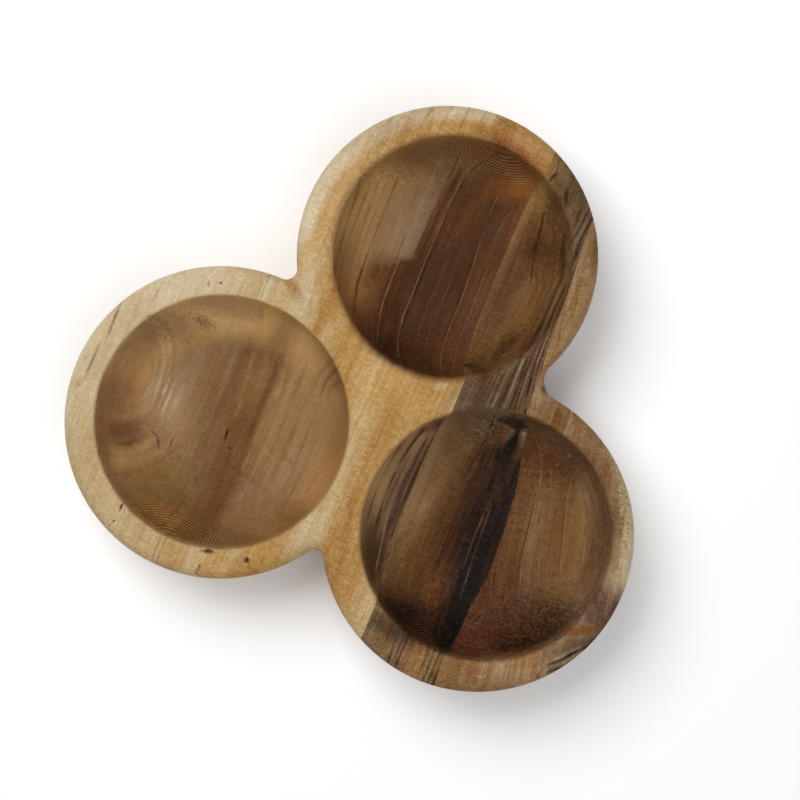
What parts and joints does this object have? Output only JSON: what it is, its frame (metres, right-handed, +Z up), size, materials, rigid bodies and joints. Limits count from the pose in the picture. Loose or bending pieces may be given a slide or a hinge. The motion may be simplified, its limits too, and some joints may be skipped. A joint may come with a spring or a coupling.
{
  "type": "three-compartment snack dish",
  "caption": "Trefoil wooden snack dish: round bowls carved side by side in one thick panel of edge-glued staves, with a flat base.",
  "frame": {"origin": "on the resting face, below the point midway between the axes of the three lobes", "axes": "+Z up out of the bowls; +Y towards the lobe that stands alone, along the grain; +X across the staves, from left_stave to right_stave"},
  "size_m": [0.2558, 0.2371, 0.045],
  "materials": {
    "left_stave_wood": "sanded and thinly oiled teak, satin",
    "wide_stave_wood": "sanded and thinly oiled teak, satin",
    "dark_stave_wood": "sanded and thinly oiled teak, satin",
    "right_stave_wood": "sanded and thinly oiled teak, satin"
  },
  "bodies": {
    "root": {"left_stave": "left_stave_wood", "wide_stave": "wide_stave_wood", "dark_stave": "dark_stave_wood", "right_stave": "right_stave_wood"}
  },
  "joints": []
}
